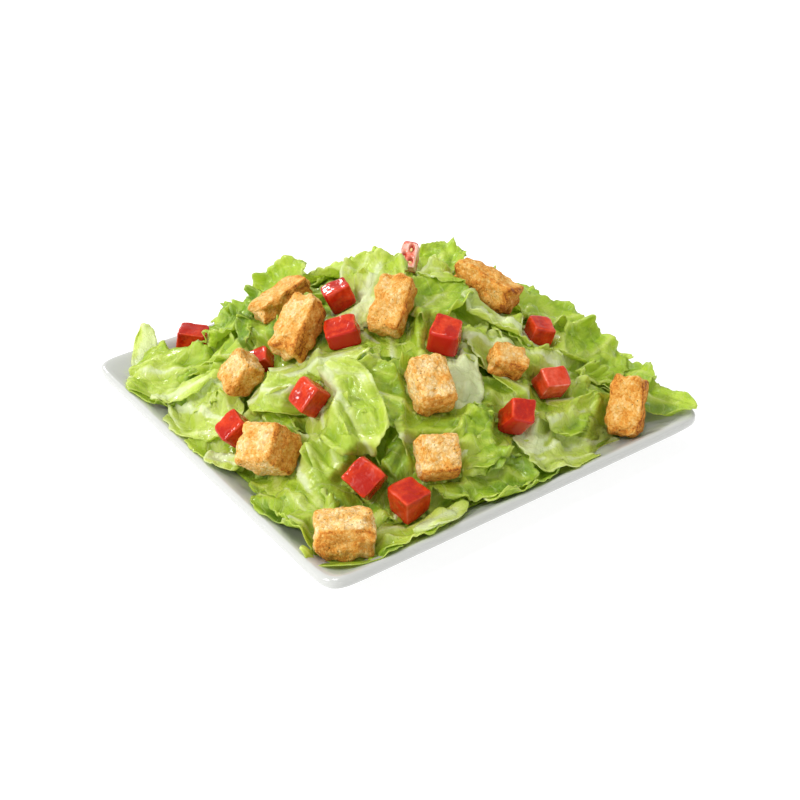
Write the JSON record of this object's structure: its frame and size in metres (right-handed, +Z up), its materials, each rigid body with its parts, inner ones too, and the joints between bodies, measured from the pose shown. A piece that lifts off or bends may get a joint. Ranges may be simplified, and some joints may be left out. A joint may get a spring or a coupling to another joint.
{
  "type": "plated salad",
  "caption": "Square white plate heaped with cut romaine leaves, toasted bread cubes and diced tomato.",
  "frame": {"origin": "middle of the plate's footprint, at the bottom of its foot on the table", "axes": "+Z up; +X and +Y along the plate's edges; the picture looks from the -X -Y corner"},
  "size_m": [0.178, 0.178, 0.0711],
  "materials": {
    "porcelain": "glossy white glaze",
    "lettuce": "fresh leaf, slightly glossy, pale at the ribs",
    "bread": "toasted crumb, dry and rough",
    "tomato": "wet cut flesh and glossy skin"
  },
  "bodies": {
    "root": {"plate": "porcelain", "lettuce": "lettuce", "crouton_01": "bread", "crouton_02": "bread", "crouton_03": "bread", "crouton_04": "bread", "crouton_05": "bread", "crouton_06": "bread", "crouton_07": "bread", "crouton_08": "bread", "crouton_09": "bread", "crouton_10": "bread", "crouton_11": "bread", "tomato_01": "tomato", "tomato_02": "tomato", "tomato_03": "tomato", "tomato_04": "tomato", "tomato_05": "tomato", "tomato_06": "tomato", "tomato_07": "tomato", "tomato_08": "tomato", "tomato_09": "tomato", "tomato_10": "tomato", "tomato_11": "tomato", "tomato_12": "tomato", "tomato_13": "tomato"}
  },
  "joints": []
}
